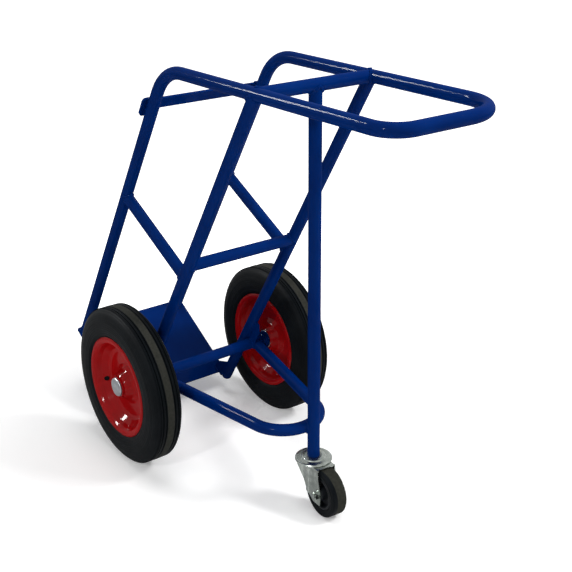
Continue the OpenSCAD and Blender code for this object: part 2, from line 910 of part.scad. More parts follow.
// Moulded wheel centre: a rim band, a thin web and a hub boss
core_r = 34;
module castor_core() {
    bore = sleeve_d / 2 + sleeve_fit;
    boss = 13;
    h = castor_w / 2;
    half = rounded([
        [bore, h + 1.5], [boss, h + 1.5], [boss + 2, 5], [core_r - 7, 4], [core_r - 4, h - 2],
        [core_r, h - 2], [core_r, 0]], 1.5, 3);
    color(black)
        at_castor_axle(0)
            rotate_extrude($fn = 64)
                polygon(concat(half, reversed([for (p = half) if (p.y > 0.01) [p.x, -p.y]])));
}

// Rubber tyre of the castor wheel, flat with small chamfers
module castor_tyre() {
    h = castor_w / 2;
    r = castor_wheel_r;
    section = rounded_outline([
        [core_r + 0.1, -h + 2], [r - 7, -h], [r - 1, -h + 1], [r, -h + 4],
        [r, h - 4], [r - 1, h - 1], [r - 7, h], [core_r + 0.1, h - 2]], 1.5, 3);
    color(black)
        at_castor_axle(0)
            rotate_extrude($fn = 96)
                polygon(section);
}

main_tube();
rear_leg_left();
rear_leg_right();
leg_cap_left();
leg_cap_right();
top_cross_tube();
post_tube();
cradle_arm_left();
cradle_arm_right();
cradle_cross_tube();
axle_tube();
loop_tube();
toe_plate();
plate_bracket_left();
plate_bracket_right();
gusset_left();
gusset_right();
collar_left();
collar_right();
axle_rod();
axle_cap_left();
axle_cap_right();
pivot_plate();
pivot_bolt();
latch_hook();
retaining_bar();
tyre_left();
rim_outer_left();
rim_inner_left();
hub_tube_left();
bearings_left();
tyre_right();
rim_outer_right();
rim_inner_right();
hub_tube_right();
bearings_right();
post_insert();
castor_plate();
castor_king_bolt();
castor_balls();
castor_fork();
castor_axle_bolt();
castor_axle_nut();
castor_sleeve();
castor_core();
castor_tyre();
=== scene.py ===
"""Gas cylinder trolley: finishes, weld beads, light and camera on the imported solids."""

import json
import logging
import math
from dataclasses import dataclass, field
from enum import Enum
from typing import Any, Sequence

import bpy
from mathutils import Matrix, Vector


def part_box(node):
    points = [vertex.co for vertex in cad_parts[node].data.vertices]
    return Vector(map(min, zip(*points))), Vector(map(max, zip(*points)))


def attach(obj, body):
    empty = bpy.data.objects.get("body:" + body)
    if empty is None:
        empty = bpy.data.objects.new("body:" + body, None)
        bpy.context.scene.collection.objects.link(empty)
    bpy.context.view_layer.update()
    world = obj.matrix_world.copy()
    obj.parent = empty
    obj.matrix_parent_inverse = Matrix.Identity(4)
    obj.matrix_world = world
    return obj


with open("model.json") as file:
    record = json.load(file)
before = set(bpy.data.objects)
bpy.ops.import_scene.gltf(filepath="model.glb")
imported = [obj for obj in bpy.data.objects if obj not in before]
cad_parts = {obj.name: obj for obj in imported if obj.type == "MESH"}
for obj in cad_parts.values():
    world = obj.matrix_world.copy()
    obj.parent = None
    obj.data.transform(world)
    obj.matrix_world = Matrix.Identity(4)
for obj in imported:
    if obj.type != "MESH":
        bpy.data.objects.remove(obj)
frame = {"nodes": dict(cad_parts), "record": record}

LOG = logging.getLogger("trolley")
MM = 0.001
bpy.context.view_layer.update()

# The frame's own numbers, as the solids have them, in millimetres and radians
AXLE_LOW, AXLE_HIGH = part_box("axle_rod")
POST_LOW, POST_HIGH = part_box("post_tube")
BOLT_LOW, BOLT_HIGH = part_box("castor_axle_bolt")
TUBE_R = 12.5
SADDLE = 0.8
LEG_TILT = math.radians(31.7)
AXLE_Y = (AXLE_LOW[1] + AXLE_HIGH[1]) / 2 / MM
AXLE_Z = (AXLE_LOW[2] + AXLE_HIGH[2]) / 2 / MM
REAR_LEG_Y = AXLE_Y - (2 * TUBE_R - SADDLE) / math.cos(LEG_TILT)
POST_Y = (POST_LOW[1] + POST_HIGH[1]) / 2 / MM
HANDLE_Z = 865.0
SIDE_X = 130.0
LEG_GAP = 250.0
WHEEL_X = 196.0
CASTOR_Y = (BOLT_LOW[1] + BOLT_HIGH[1]) / 2 / MM
CASTOR_Z = (BOLT_LOW[2] + BOLT_HIGH[2]) / 2 / MM
UP_LEG = Vector((0.0, math.sin(LEG_TILT), math.cos(LEG_TILT)))
TO_FRONT = Vector((0.0, -math.cos(LEG_TILT), math.sin(LEG_TILT)))


class Side(Enum):
    """The two sides of the person who pushes the trolley."""

    LEFT = 1
    RIGHT = -1

    @property
    def word(self) -> str:
        """Lower-case name that ends a piece's name."""
        return self.name.lower()


def leg_point(x: float, along: float, off: float) -> Vector:
    """Finds a point in a side frame.

    Args:
        x: Distance from the middle plane.
        along: Distance up the rear leg from the axle's level.
        off: Distance square to the leg, towards the front.

    Returns:
        The point in millimetres.
    """
    return Vector((x, REAR_LEG_Y, AXLE_Z)) + along * UP_LEG + off * TO_FRONT


def srgb(code: str) -> tuple[float, float, float, float]:
    """Turns an sRGB hex colour into the linear colour that a shader takes.

    Args:
        code: Six hex digits, such as "1f3a93".

    Returns:
        Red, green, blue and an alpha of one.
    """
    parts = [int(code[i : i + 2], 16) / 255 for i in (0, 2, 4)]
    linear = [c / 12.92 if c <= 0.04045 else ((c + 0.055) / 1.055) ** 2.4 for c in parts]
    return linear[0], linear[1], linear[2], 1.0


def add_node(
    tree: bpy.types.NodeTree, kind: str, inputs: dict[str | int, Any] | None = None, **settings: Any
) -> bpy.types.Node:
    """Adds one node, sets its properties, and fills or links its inputs.

    Args:
        tree: Node tree that takes the node.
        kind: Blender's type name of the node.
        inputs: Value, or output socket to link, by input name or number.
        settings: Properties of the node itself.

    Returns:
        The new node.
    """
    node = tree.nodes.new(kind)
    for name, value in settings.items():
        setattr(node, name, value)
    for key, value in (inputs or {}).items():
        if isinstance(value, bpy.types.NodeSocket):
            tree.links.new(value, node.inputs[key])
        else:
            node.inputs[key].default_value = value
    return node


def ramp(
    tree: bpy.types.NodeTree, factor: bpy.types.NodeSocket, stops: Sequence[tuple[float, Any]]
) -> bpy.types.NodeSocket:
    """Adds a colour ramp with the given stops.

    Args:
        tree: Node tree that takes the ramp.
        factor: Socket that drives it.
        stops: Position and linear colour of each stop, in order.

    Returns:
        The ramp's colour output.
    """
    node = add_node(tree, "ShaderNodeValToRGB", {"Fac": factor})
    elements = node.color_ramp.elements
    while len(elements) < len(stops):
        elements.new(1.0)
    for element, (place, colour) in zip(elements, stops):
        element.position = place
        element.color = colour if isinstance(colour, tuple) else (colour, colour, colour, 1.0)
    return node.outputs["Color"]


def new_material(name: str) -> tuple[bpy.types.Material, bpy.types.NodeTree, bpy.types.NodeSocket]:
    """Makes an empty node material.

    Args:
        name: Name of the real finish.

    Returns:
        The material, its node tree and its Object coordinates.
    """
    material = bpy.data.materials.new(name)
    material.use_nodes = True
    material.node_tree.nodes.clear()
    place = add_node(material.node_tree, "ShaderNodeTexCoord").outputs["Object"]
    return material, material.node_tree, place


def finish_surface(tree: bpy.types.NodeTree, inputs: dict[str, Any]) -> None:
    """Adds the surface shader and the output.

    Args:
        tree: The material's node tree.
        inputs: Values and sockets of the shader.
    """
    shader = add_node(tree, "ShaderNodeBsdfPrincipled", inputs)
    add_node(tree, "ShaderNodeOutputMaterial", {"Surface": shader.outputs["BSDF"]})


@dataclass(frozen=True)
class StoveEnamel:
    """Gloss stove enamel sprayed over welded steel tube."""

    name: str
    deep: str
    light: str
    roughness: float
    gloss: float
    peel_mm: float = 4.0
    peel_depth_mm: float = 0.2
    tone_mm: float = 90.0

    def build(self) -> bpy.types.Material:
        """Makes the enamel: a slow drift of tone under a clear gloss with a soft orange peel.

        Returns:
            The material.
        """
        material, tree, place = new_material(self.name)
        tone = add_node(
            tree, "ShaderNodeTexNoise", {"Vector": place, "Scale": 1 / (self.tone_mm * MM), "Detail": 3.0}
        )
        colour = ramp(tree, tone.outputs["Fac"], [(0.3, srgb(self.deep)), (0.7, srgb(self.light))])
        # A sprayed coat's orange peel is about 1.5 mm across, drawn at 4 mm so that it shows
        peel = add_node(
            tree, "ShaderNodeTexNoise", {"Vector": place, "Scale": 1 / (self.peel_mm * MM), "Detail": 1.0}
        )
        bump = add_node(
            tree,
            "ShaderNodeBump",
            {"Strength": 0.07, "Distance": self.peel_depth_mm * MM, "Height": peel.outputs["Fac"]},
        )
        # All the gloss is in the coat, so the pigment under it is matt and mirrors nothing of its own
        finish_surface(
            tree,
            {
                "Base Color": colour,
                "Roughness": 0.6,
                "Specular IOR Level": 0.0,
                "Coat Weight": self.gloss,
                "Coat Roughness": self.roughness,
                "Coat Normal": bump.outputs["Normal"],
                "Normal": bump.outputs["Normal"],
            },
        )
        return material


@dataclass(frozen=True)
class TyreRubber:
    """Black rubber of a wheel, worn grey where the tread runs on the floor."""

    name: str
    mid_x_mm: float
    axle_mm: tuple[float, float]
    band_half_mm: float
    band_radius_mm: float
    worn_dark: str
    worn_light: str
    ring_mm: float
    black_deep: str = "080b0e"
    black_light: str = "0f1316"
    grain_mm: float = 6.0
    cloud_mm: float = 45.0
    skin_depth_mm: float = 0.3
    edge_mm: float = 0.4
    shoulder_mm: float = 0.5

    def build(self) -> bpy.types.Material:
        """Makes the rubber: satin sides with fine mould rings, a matt tread and a dusty centre band.

        Returns:
            The material.
        """
        material, tree, place = new_material(self.name)
        axes = add_node(tree, "ShaderNodeSeparateXYZ", {"Vector": place})
        outward = add_node(tree, "ShaderNodeMath", {0: axes.outputs["X"]}, operation="ABSOLUTE")
        across = add_node(
            tree, "ShaderNodeMath", {0: outward.outputs[0], 1: self.mid_x_mm * MM}, operation="SUBTRACT"
        )
        off_centre = add_node(tree, "ShaderNodeMath", {0: across.outputs[0]}, operation="ABSOLUTE")
        flat = add_node(
            tree,
            "ShaderNodeVectorMath",
            {0: place, 1: (0.0, 1.0, 1.0)},
            operation="MULTIPLY",
        )
        centre = add_node(
            tree,
            "ShaderNodeVectorMath",
            {0: flat.outputs[0], 1: (0.0, self.axle_mm[0] * MM, self.axle_mm[1] * MM)},
            operation="DISTANCE",
        )
        radius = centre.outputs["Value"]
        grain = add_node(
            tree, "ShaderNodeTexNoise", {"Vector": place, "Scale": 1 / (self.grain_mm * MM), "Detail": 5.0}
        )
        cloud = add_node(
            tree, "ShaderNodeTexNoise", {"Vector": place, "Scale": 1 / (self.cloud_mm * MM), "Detail": 4.0}
        )
        shades = [(0.3, srgb(self.black_deep)), (0.75, srgb(self.black_light))]
        black = ramp(tree, cloud.outputs["Fac"], shades)
        worn = ramp(tree, grain.outputs["Fac"], [(0.3, srgb(self.worn_dark)), (0.75, srgb(self.worn_light))])
        on_band = add_node(
            tree,
            "ShaderNodeMapRange",
            {
                "Value": off_centre.outputs[0],
                "From Min": self.band_half_mm * MM,
                "From Max": (self.band_half_mm + self.edge_mm) * MM,
                "To Min": 1.0,
                "To Max": 0.0,
            },
        )
        high = add_node(
            tree,
            "ShaderNodeMapRange",
            {
                "Value": radius,
                "From Min": (self.band_radius_mm - self.shoulder_mm) * MM,
                "From Max": (self.band_radius_mm + self.shoulder_mm) * MM,
            },
        )
        band = add_node(
            tree, "ShaderNodeMath", {0: on_band.outputs[0], 1: high.outputs[0]}, operation="MULTIPLY"
        )
        colour = add_node(
            tree,
            "ShaderNodeMix",
            {"Factor": band.outputs[0], 6: black, 7: worn},
            data_type="RGBA",
        )
        # Turning marks of the mould are about 1 mm apart, drawn coarser so that they show
        rings = add_node(
            tree, "ShaderNodeMath", {0: radius, 1: 2 * math.pi / (self.ring_mm * MM)}, operation="MULTIPLY"
        )
        wave = add_node(tree, "ShaderNodeMath", {0: rings.outputs[0]}, operation="SINE")
        skin = add_node(
            tree,
            "ShaderNodeMath",
            {0: grain.outputs["Fac"], 1: 2.5, 2: wave.outputs[0]},
            operation="MULTIPLY_ADD",
        )
        bump = add_node(
            tree,
            "ShaderNodeBump",
            {"Strength": 0.3, "Distance": self.skin_depth_mm * MM, "Height": skin.outputs[0]},
        )
        rough = add_node(
            tree,
            "ShaderNodeMapRange",
            {"Value": band.outputs[0], "To Min": 0.55, "To Max": 0.85},
        )
        finish_surface(
            tree,
            {
                "Base Color": colour.outputs[2],
                "Roughness": rough.outputs["Result"],
                "IOR": 1.52,
                "Specular IOR Level": 0.04,
                "Normal": bump.outputs["Normal"],
            },
        )
        return material


@dataclass(frozen=True)
class PlatedSteel:
    """Metal with a plated skin: bright zinc, chrome, or ground bearing steel."""

    name: str
    dark: str
    bright: str
    roughness: float
    grain_mm: float
    grain_depth_mm: float = 0.08
    cloud_mm: float = 12.0

    def build(self) -> bpy.types.Material:
        """Makes the metal: cloudy plating, fine drawn grain and patchy gloss.

        Returns:
            The material.
        """
        material, tree, place = new_material(self.name)
        cloud = add_node(
            tree, "ShaderNodeTexNoise", {"Vector": place, "Scale": 1 / (self.cloud_mm * MM), "Detail": 4.0}
        )
        colour = ramp(tree, cloud.outputs["Fac"], [(0.3, srgb(self.dark)), (0.7, srgb(self.bright))])
        # Drawn grain is about 0.3 mm wide, drawn at 1 to 2 mm so that it shows
        drawn = add_node(tree, "ShaderNodeMapping", {"Vector": place, "Scale": (1.0, 1.0, 0.12)})
        grain = add_node(
            tree,
            "ShaderNodeTexNoise",
            {"Vector": drawn.outputs["Vector"], "Scale": 1 / (self.grain_mm * MM), "Detail": 2.0},
        )
        bump = add_node(
            tree,
            "ShaderNodeBump",
            {"Strength": 0.4, "Distance": self.grain_depth_mm * MM, "Height": grain.outputs["Fac"]},
        )
        rough = add_node(
            tree,
            "ShaderNodeMapRange",
            {
                "Value": cloud.outputs["Fac"],
                "From Min": 0.3,
                "From Max": 0.7,
                "To Min": self.roughness,
                "To Max": self.roughness * 1.5,
            },
        )
        finish_surface(
            tree,
            {
                "Base Color": colour,
                "Metallic": 1.0,
                "Roughness": rough.outputs["Result"],
                "Normal": bump.outputs["Normal"],
            },
        )
        return material


@dataclass(frozen=True)
class MouldedPolymer:
    """Moulded plastic of the castor wheel's centre."""

    name: str
    dark: str
    light: str
    roughness: float
    specular: float
    grain_mm: float
    grain_depth_mm: float = 0.15
    cloud_mm: float = 9.0

    def build(self) -> bpy.types.Material:
        """Makes the moulded skin: slightly uneven colour over a fine mould grain.

        Returns:
            The material.
        """
        material, tree, place = new_material(self.name)
        cloud = add_node(
            tree, "ShaderNodeTexNoise", {"Vector": place, "Scale": 1 / (self.cloud_mm * MM), "Detail": 4.0}
        )
        colour = ramp(tree, cloud.outputs["Fac"], [(0.3, srgb(self.dark)), (0.72, srgb(self.light))])
        # The grain of a mould is about 0.2 mm across, drawn coarser so that it shows
        grain = add_node(
            tree, "ShaderNodeTexNoise", {"Vector": place, "Scale": 1 / (self.grain_mm * MM), "Detail": 2.0}
        )
        bump = add_node(
            tree,
            "ShaderNodeBump",
            {"Strength": 0.35, "Distance": self.grain_depth_mm * MM, "Height": grain.outputs["Fac"]},
        )
        finish_surface(
            tree,
            {
                "Base Color": colour,
                "Roughness": self.roughness,
                "IOR": 1.5,
                "Specular IOR Level": self.specular,
                "Normal": bump.outputs["Normal"],
            },
        )
        return material


Finish = StoveEnamel | TyreRubber | PlatedSteel | MouldedPolymer


@dataclass
class PaintShop:
    """The finishes, one for each material slot, and the materials made from them."""

    finishes: dict[str, Finish] = field(
        default_factory=lambda: {
            # Deep royal blue gloss enamel: almost no red, narrow sharp highlights
            "frame_paint": StoveEnamel("blue_stove_enamel", "001f5a", "002666", 0.09, 0.06),
            # Bright red gloss enamel on pressed steel
            "rim_paint": StoveEnamel("red_rim_enamel", "930a0e", "a20e11", 0.09, 0.2),
            # Black solid rubber, matt and dull, with the narrow band of the tread worn dusty grey
            "tyre": TyreRubber(
                "moulded_tyre_rubber", WHEEL_X, (AXLE_Y, AXLE_Z), 7.6, 172.7, "2a2b27", "343430", 5.0
            ),
            # Pushed-on steel cap, bright plated and a little dulled
            "cap_chrome": PlatedSteel("bright_plated_cap", "85888c", "a9acb0", 0.3, 1.5),
            # Bright zinc with a faint cool tint and soft cloudy gloss
            "zinc": PlatedSteel("bright_zinc_plate", "8b918c", "a7ada8", 0.2, 1.8),
            # Ground and hardened steel, the brightest of the metals
            "bearing_steel": PlatedSteel("ground_bearing_steel", "8d9094", "b4b7ba", 0.2, 1.0),
            # Black moulded polypropylene, low gloss
            "castor_plastic": MouldedPolymer("moulded_polypropylene", "0a0d11", "14181d", 0.45, 0.2, 1.5),
            # Black rubber with the whole flat tread worn brown-grey
            "castor_rubber": TyreRubber(
                "castor_tread_rubber", 0.0, (CASTOR_Y, CASTOR_Z), 13.6, 46.5, "292a26", "33332e", 3.0
            ),
        }
    )
    made: dict[str, bpy.types.Material] = field(default_factory=dict)

    def finish(self, slot: str) -> bpy.types.Material:
        """Finds the material of one of the record's slots, made on first use.

        Args:
            slot: Name of the material slot.

        Returns:
            The material.
        """
        if slot not in self.made:
            self.made[slot] = self.finishes[slot].build()
        return self.made[slot]

    def dress_nodes(self) -> None:
        """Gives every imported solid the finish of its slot."""
        for part in frame["record"]["subparts"]:
            solid = frame["nodes"][part["node"]]
            material = self.finish(part["material_slot"])
            if not solid.material_slots:
                solid.data.materials.append(material)
            for slot in solid.material_slots:
                slot.material = material
            LOG.info("dressed %s in %s", part["node"], material.name)


@dataclass(frozen=True)
class Rod:
    """Straight round tube, by a point on its axis and its direction."""

    origin: Vector
    direction: Vector
    radius: float = TUBE_R

    def across(self) -> tuple[Vector, Vector]:
        """Returns two unit vectors square to the rod and to each other."""
        first = self.direction.orthogonal().normalized()
        return first, self.direction.normalized().cross(first)

    def skin_point(self, angle: float) -> Vector:
        """Returns the point of the rod's skin beside its origin, at an angle round it."""
        first, second = self.across()
        return self.origin + self.radius * (math.cos(angle) * first + math.sin(angle) * second)

    def exits(self, angle: float, through: "Rod") -> tuple[float, float] | None:
        """Finds where one line of this rod's skin crosses another rod's skin.

        Args:
            angle: Angle of the line round this rod.
            through: The rod that it crosses.

        Returns:
            The near and the far crossing along this rod, or None where it passes by.
        """
        axis = through.direction.normalized()
        step = self.direction.normalized()
        reach = self.skin_point(angle) - through.origin
        reach = reach - reach.dot(axis) * axis
        step = step - step.dot(axis) * axis
        a = step.dot(step)
        b = 2 * reach.dot(step)
        c = reach.dot(reach) - through.radius**2
        root = b * b - 4 * a * c
        # A line that only just touches the skin still counts as a crossing
        if root < -1e-3:
            return None
        root = math.sqrt(max(root, 0.0))
        return (-b - root) / (2 * a), (-b + root) / (2 * a)

    def saddle(self, through: "Rod", steps: int = 88) -> list[Vector]:
        """Follows the line where this rod's end meets the side of another.

        Args:
            through: The rod that this one ends on.
            steps: Number of points round the joint.

        Returns:
            The closed line of points.
        """
        line = []
        for i in range(steps):
            angle = 2 * math.pi * i / steps
            crossing = self.exits(angle, through)
            if crossing is not None:
                line.append(self.skin_point(angle) + crossing[1] * self.direction.normalized())
        return line

    def graze(self, through: "Rod", steps: int = 1440, keep: int = 14) -> list[Vector]:
        """Follows the closed line where this rod bites a little into another's side.

        Args:
            through: The rod beside it.
            steps: Number of angles tried round this rod.
            keep: Number of points kept on each half of the line.

        Returns:
            The closed line of points.
        """
        # The lines that bite stand side by side, from the first one on
        first = next(
            i
            for i in range(steps)
            if self.exits(2 * math.pi * (i - 1) / steps, through) is None
            and self.exits(2 * math.pi * i / steps, through) is not None
        )
        angles = []
        while len(angles) < steps and self.exits(2 * math.pi * (first + len(angles)) / steps, through):
            angles.append(2 * math.pi * (first + len(angles)) / steps)
        picked = [angles[round(j * (len(angles) - 1) / keep)] for j in range(keep + 1)]
        ahead = self.direction.normalized()
        there = [self.skin_point(a) + self.exits(a, through)[1] * ahead for a in picked]
        back = [self.skin_point(a) + self.exits(a, through)[0] * ahead for a in reversed(picked[1:-1])]
        return there + back


@dataclass(frozen=True)
class Bead:
    """One run of weld along a line of points in millimetres."""

    line: list[Vector]
    closed: bool = True
    ripple_mm: float = 4.2
    ripple_part: float = 0.07
    drift_mm: float = 11.0
    drift_part: float = 0.06
    drift_phase: float = 1.3
    start_mm: float = 5.0
    start_part: float = 0.22
    end_part: float = 0.55

    def swell(self) -> list[float]:
        """Works out how thick the bead is at each point: even ripples and a fuller start.

        Returns:
            One factor for each point.
        """
        run = 0.0
        factors = []
        for i, point in enumerate(self.line):
            if i:
                run += (point - self.line[i - 1]).length
            ripple = self.ripple_part * math.sin(2 * math.pi * run / self.ripple_mm)
            drift = self.drift_part * math.sin(run / self.drift_mm + self.drift_phase)
            start = self.start_part * math.exp(-((run / self.start_mm) ** 2))
            factors.append(1.0 + ripple + drift + start)
        if not self.closed:
            factors[0] = self.end_part
            factors[-1] = self.end_part
        return factors


def straight(start: Vector, end: Vector, step: float = 1.2) -> list[Vector]:
    """Divides a straight run into short steps."""
    count = max(4, round((end - start).length / step))
    return [start.lerp(end, i / count) for i in range(count + 1)]


def ring(centre: Vector, axis: Vector, radius: float, steps: int = 80) -> list[Vector]:
    """Returns a closed circle of points about an axis."""
    hoop = Rod(centre, axis, radius)
    return [hoop.skin_point(2 * math.pi * i / steps) for i in range(steps)]


@dataclass
class Welds:
    """The frame's weld beads, laid by hand and painted over.

    Lengths are in millimetres, the angles of a gusset's wrap in degrees and the other angles in radians.
    """

    shop: PaintShop
    bead_r: float = 2.7
    plate_bead_r: float = 2.2
    arm_rear: float = 327.0
    arm_front: float = 309.0
    cross: float = 360.0
    axle_half: float = 163.0
    loop_half: tuple[float, float] = (132.0, 143.0)
    loop_taper: tuple[float, float] = (math.radians(8.6), math.radians(13.8))
    nose_back: float = 15.6
    nose_slope: float = math.radians(7.3)
    plate_down: float = 168.0
    plate_rear: float = 26.0
    bracket_reach: float = 45.0
    bracket_h: float = 58.0
    foot: float = 146.0
    half_sheet: float = 2.5
    gusset_low: float = 27.0
    gusset_high: float = 83.0
    wrap_start: float = 10.0
    wrap_step: float = 5.2
    wrap_points: int = 27
    leg_top: float = (HANDLE_Z - AXLE_Z) / math.cos(LEG_TILT)
    bar_up: float = (HANDLE_Z - AXLE_Z - LEG_GAP * math.sin(LEG_TILT)) / math.cos(LEG_TILT) - 106.0
    pivot_run: tuple[float, float] = (-21.0, 21.0)
    hook_run: tuple[float, float] = (-16.0, 19.0)
    bar_plate_half: float = 6.0
    sink: float = 0.6

    def lay(self, name: str, beads: Sequence[Bead], radius: float) -> None:
        """Sweeps beads into one painted piece.

        No primitive follows such a line, so each bead is a bevelled line turned to a mesh.

        Args:
            name: Name of the piece.
            beads: The runs of weld in it.
            radius: Radius of the bead in millimetres.
        """
        curve = bpy.data.curves.new(name, "CURVE")
        curve.dimensions = "3D"
        curve.bevel_depth = radius * MM
        curve.bevel_resolution = 3
        curve.use_fill_caps = True
        for bead in beads:
            spline = curve.splines.new("POLY")
            spline.points.add(len(bead.line) - 1)
            for point, place, factor in zip(spline.points, bead.line, bead.swell()):
                point.co = (*(place * MM), 1.0)
                point.radius = factor
            spline.use_cyclic_u = bead.closed
        weld = bpy.data.objects.new(name, curve)
        bpy.context.scene.collection.objects.link(weld)
        bpy.ops.object.select_all(action="DESELECT")
        weld.select_set(True)
        bpy.context.view_layer.objects.active = weld
        bpy.ops.object.convert(target="MESH")
        bpy.ops.object.shade_smooth()
        weld = bpy.context.active_object
        weld.data.materials.append(self.shop.finish("frame_paint"))
        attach(weld, "frame")
        LOG.info("welded %s, %d faces", name, len(weld.data.polygons))

    def seam(self, start: Vector, end: Vector) -> Bead:
        """Returns a straight bead with tapered ends."""
        return Bead(straight(start, end), closed=False)

    def side_tube(self, side: Side) -> Rod:
        """Returns the handle's side tube."""
        return Rod(Vector((side.value * SIDE_X, POST_Y, HANDLE_Z)), Vector((0.0, 1.0, 0.0)))

    def rear_leg(self, side: Side) -> Rod:
        """Returns a rear leg."""
        return Rod(leg_point(side.value * SIDE_X, 0.0, 0.0), UP_LEG)

    def front_leg(self, side: Side) -> Rod:
        """Returns a front leg."""
        return Rod(leg_point(side.value * SIDE_X, 0.0, LEG_GAP), UP_LEG)

    def weld_handle(self) -> None:
        """Welds the post, the cross tube and the rear legs to the handle."""
        level = Rod(Vector((0.0, POST_Y, HANDLE_Z)), Vector((1.0, 0.0, 0.0)))
        post = Rod(Vector((0.0, POST_Y, HANDLE_Z)), Vector((0.0, 0.0, -1.0)))
        self.lay("weld_post_top", [Bead(post.saddle(level))], self.bead_r + 0.5)
        for side in Side:
            x = side.value * SIDE_X
            cross = Rod(Vector((x, POST_Y, HANDLE_Z)), Vector((-side.value, 0.0, 0.0)))
            leg = Rod(leg_point(x, self.leg_top, 0.0), -UP_LEG)
            through = self.side_tube(side)
            beads = [Bead(cross.saddle(through)), Bead(leg.saddle(through))]
            self.lay(f"weld_handle_{side.word}", beads, self.bead_r)

    def weld_cradle(self) -> None:
        """Welds the cradle's arms and its cross tube to the legs."""
        for side in Side:
            x = side.value * SIDE_X
            low = leg_point(x, self.arm_rear, 0.0)
            high = leg_point(x, self.arm_front, LEG_GAP)
            cross = Rod(leg_point(x, self.cross, 0.0), Vector((-side.value, 0.0, 0.0)))
            beads = [
                Bead(Rod(low, (high - low).normalized()).saddle(self.rear_leg(side))),
                Bead(Rod(high, (low - high).normalized()).saddle(self.front_leg(side))),
                Bead(cross.saddle(self.rear_leg(side))),
            ]
            self.lay(f"weld_cradle_{side.word}", beads, self.bead_r)

    def weld_axle(self) -> None:
        """Welds the lower loop, the legs, the gussets and the collars to the axle tube."""
        axle = Rod(Vector((0.0, AXLE_Y, AXLE_Z)), Vector((1.0, 0.0, 0.0)))
        centre_off = 2 * TUBE_R - SADDLE
        centre_up = centre_off * math.tan(LEG_TILT)
        groove = math.sqrt(TUBE_R**2 - self.half_sheet**2)
        for side, half, taper in zip(Side, self.loop_half, self.loop_taper):
            x = side.value * SIDE_X
            arm = Rod(
                Vector((side.value * half, AXLE_Y, AXLE_Z)),
                Vector((-side.value * math.sin(taper), math.cos(taper), 0.0)),
            )
            tube_end = Vector((side.value * (self.axle_half - 0.5), AXLE_Y, AXLE_Z))
            beads = [
                Bead(arm.saddle(axle)),
                Bead(self.rear_leg(side).graze(axle)),
                Bead(ring(tube_end, axle.direction, TUBE_R)),
            ]
            self.lay(f"weld_axle_{side.word}", beads, self.bead_r)
            edges = []
            for face in (-self.half_sheet, self.half_sheet):
                low = leg_point(x + face, self.gusset_low, -groove)
                high = leg_point(x + face, self.gusset_high, -groove)
                edges.append(self.seam(low, high))
                wrap = []
                for i in range(self.wrap_points):
                    turn = math.radians(self.wrap_start + self.wrap_step * i)
                    up = centre_up + TUBE_R * math.sin(turn)
                    wrap.append(leg_point(x + face, up, -centre_off - TUBE_R * math.cos(turn)))
                edges.append(Bead(wrap, closed=False))
            self.lay(f"weld_gusset_{side.word}", edges, self.plate_bead_r)

    def weld_loop(self) -> None:
        """Welds the loop's nose to the post."""
        post = Rod(Vector((0.0, POST_Y, AXLE_Z)), Vector((0.0, 0.0, 1.0)))
        along = Vector((math.cos(self.nose_slope), math.sin(self.nose_slope), 0.0))
        nose = Rod(Vector((0.0, POST_Y - self.nose_back, AXLE_Z)), along)
        self.lay("weld_loop_nose", [Bead(post.graze(nose, keep=24))], self.bead_r + 0.3)

    def weld_plate(self) -> None:
        """Welds the front legs and the brackets to the toe plate."""
        groove = math.sqrt(TUBE_R**2 - self.half_sheet**2)
        bracket_top = self.bracket_h - self.plate_down
        for side in Side:
            x = side.value * SIDE_X
            foot = leg_point(x, -self.plate_down, LEG_GAP)
            self.lay(f"weld_leg_foot_{side.word}", [Bead(ring(foot, UP_LEG, TUBE_R))], self.bead_r)
            edges = []
            for face in (-self.half_sheet, self.half_sheet):
                rear = leg_point(x + face, -self.plate_down, self.plate_rear + 1.0)
                front = leg_point(x + face, -self.plate_down, self.bracket_reach - 1.0)
                edges.append(self.seam(rear, front))
                low = leg_point(x + face, 2.0 - self.foot, groove)
                high = leg_point(x + face, bracket_top - 3.0, groove)
                edges.append(self.seam(low, high))
            self.lay(f"weld_bracket_{side.word}", edges, self.plate_bead_r)

    def weld_bar_plates(self) -> None:
        """Welds the pivot plate and the latch hook to the front legs."""
        contact = LEG_GAP + TUBE_R - SADDLE - self.sink
        for side, run in ((Side.LEFT, self.pivot_run), (Side.RIGHT, self.hook_run)):
            beads = []
            for edge in (-self.bar_plate_half, self.bar_plate_half):
                x = side.value * SIDE_X + edge
                low = leg_point(x, self.bar_up + run[0], contact)
                high = leg_point(x, self.bar_up + run[1], contact)
                beads.append(self.seam(low, high))
            self.lay(f"weld_bar_plate_{side.word}", beads, self.plate_bead_r)

    def build(self) -> None:
        """Lays every weld."""
        self.weld_handle()
        self.weld_cradle()
        self.weld_axle()
        self.weld_loop()
        self.weld_plate()
        self.weld_bar_plates()


